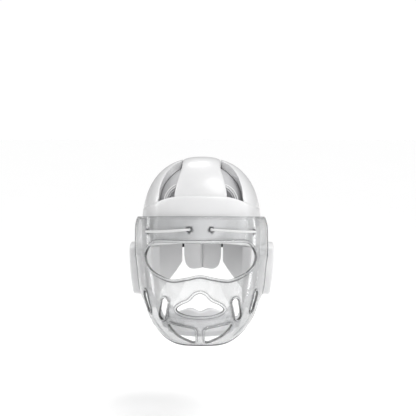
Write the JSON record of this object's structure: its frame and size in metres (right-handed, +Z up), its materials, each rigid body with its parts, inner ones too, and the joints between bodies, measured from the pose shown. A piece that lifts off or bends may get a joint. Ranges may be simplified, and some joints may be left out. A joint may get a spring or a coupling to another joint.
{
  "type": "karate headgear with clear face mask",
  "caption": "White padded foam head guard for karate with ear guards, crown strip and nape pad, and a clear moulded face mask laced to its forehead band.",
  "frame": {"origin": "the highest inner point of the liner, where it sits on the crown of the head", "axes": "+Z up, the face looks along -Y, +X to the wearer's left"},
  "size_m": [0.2398, 0.2721, 0.2908],
  "materials": {
    "coated_foam": "satin coated foam",
    "liner_foam": "satin coated foam",
    "vent_mesh": "matt",
    "clear_mask": "clear moulded plastic",
    "white_elastic": "braided elastic",
    "white_webbing": "woven",
    "black_elastic": "woven elastic",
    "stud_plastic": "gloss"
  },
  "bodies": {
    "root": {"head_liner": "liner_foam", "vent_grille_left": "vent_mesh", "vent_grille_right": "vent_mesh", "crown_strip": "coated_foam", "forehead_band": "coated_foam", "side_pad_left": "coated_foam", "side_pad_right": "coated_foam", "ear_flap_left": "coated_foam", "ear_flap_right": "coated_foam", "ear_guard_left": "coated_foam", "ear_guard_right": "coated_foam", "nape_pad": "coated_foam", "back_strap": "black_elastic", "face_mask": "clear_mask", "lacing_cord_left": "white_elastic", "lacing_cord_right": "white_elastic", "mask_stud_left": "stud_plastic", "mask_stud_right": "stud_plastic", "chin_cup": "coated_foam", "chin_strap": "white_webbing"}
  },
  "joints": []
}
